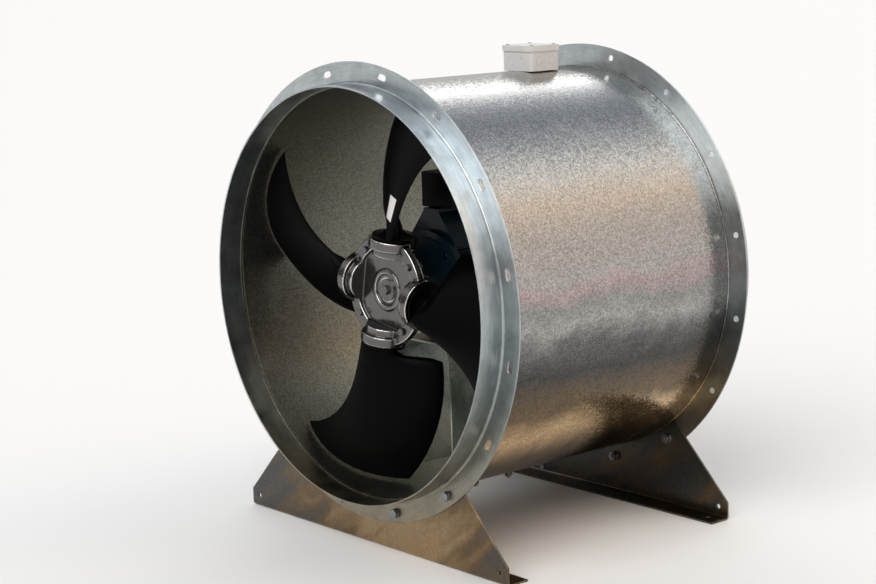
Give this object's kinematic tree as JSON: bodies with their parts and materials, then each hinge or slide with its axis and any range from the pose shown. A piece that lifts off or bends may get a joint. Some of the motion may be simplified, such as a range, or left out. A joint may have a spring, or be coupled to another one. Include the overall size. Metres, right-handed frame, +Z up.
{
  "type": "axial duct fan",
  "caption": "Long-cased axial duct fan on two bent plate feet, with flanged galvanised casing, swept plastic blades on a die-cast hub, inner motor and junction box.",
  "frame": {"origin": "on the floor under the middle of the casing", "axes": "+Z up, +Y along the fan axis from inlet to outlet, +X to the right seen from the inlet"},
  "size_m": [0.8999, 0.716, 0.9573],
  "materials": {
    "galvanised_sheet": "hot-dip galvanised sheet with fine spangle",
    "galvanised_ring": "smoother galvanised rolled rings",
    "zinc_fasteners": "bright zinc plating",
    "navy_motor_paint": "satin dark blue enamel on cast metal",
    "core_steel": "varnished laminations",
    "copper_winding": "enamelled copper wire",
    "bright_steel": "ground steel",
    "black_box_plastic": "moulded black plastic",
    "die_cast_aluminium": "die-cast aluminium",
    "black_blade_plastic": "glass-filled black plastic",
    "grey_box_plastic": "light grey moulded plastic",
    "black_rubber": "moulded rubber"
  },
  "bodies": {
    "casing": {"casing_tube": "galvanised_sheet", "front_foot": "galvanised_sheet", "rear_foot": "galvanised_sheet", "motor_support": "galvanised_sheet", "front_flange_ring": "galvanised_ring", "rear_flange_ring": "galvanised_ring", "foot_bolts": "zinc_fasteners", "foot_washers": "zinc_fasteners", "foot_nuts": "zinc_fasteners", "support_bolts": "zinc_fasteners", "support_nuts": "zinc_fasteners", "end_shield_screws": "zinc_fasteners", "motor_bolts": "zinc_fasteners", "terminal_lid_screws": "zinc_fasteners", "junction_fixing_screws": "zinc_fasteners", "junction_lid_screws": "zinc_fasteners", "motor_frame": "navy_motor_paint", "front_end_shield": "navy_motor_paint", "rear_end_shield": "navy_motor_paint", "stator_core": "core_steel", "stator_windings": "copper_winding", "front_bearing": "bright_steel", "rear_bearing": "bright_steel", "terminal_box": "black_box_plastic", "terminal_lid": "black_box_plastic", "terminal_gland": "black_box_plastic", "junction_box": "grey_box_plastic", "junction_lid": "grey_box_plastic", "casing_grommet": "black_rubber"},
    "impeller": {"motor_shaft": "bright_steel", "rotor_core": "core_steel", "hub_front": "die_cast_aluminium", "hub_rear": "die_cast_aluminium", "hub_bush": "bright_steel", "shaft_key": "bright_steel", "hub_clamp_bolts": "zinc_fasteners", "hub_clamp_nuts": "zinc_fasteners", "hub_centre_bolt": "zinc_fasteners", "hub_centre_washer": "zinc_fasteners", "blade_1": "black_blade_plastic", "blade_2": "black_blade_plastic", "blade_3": "black_blade_plastic", "blade_4": "black_blade_plastic"}
  },
  "joints": [
    {"name": "impeller_spin", "type": "hinge", "parent": "casing", "child": "impeller", "pos_m": [0, -0.234, 0.5], "axis": [0, 1, 0], "continuous": true}
  ]
}
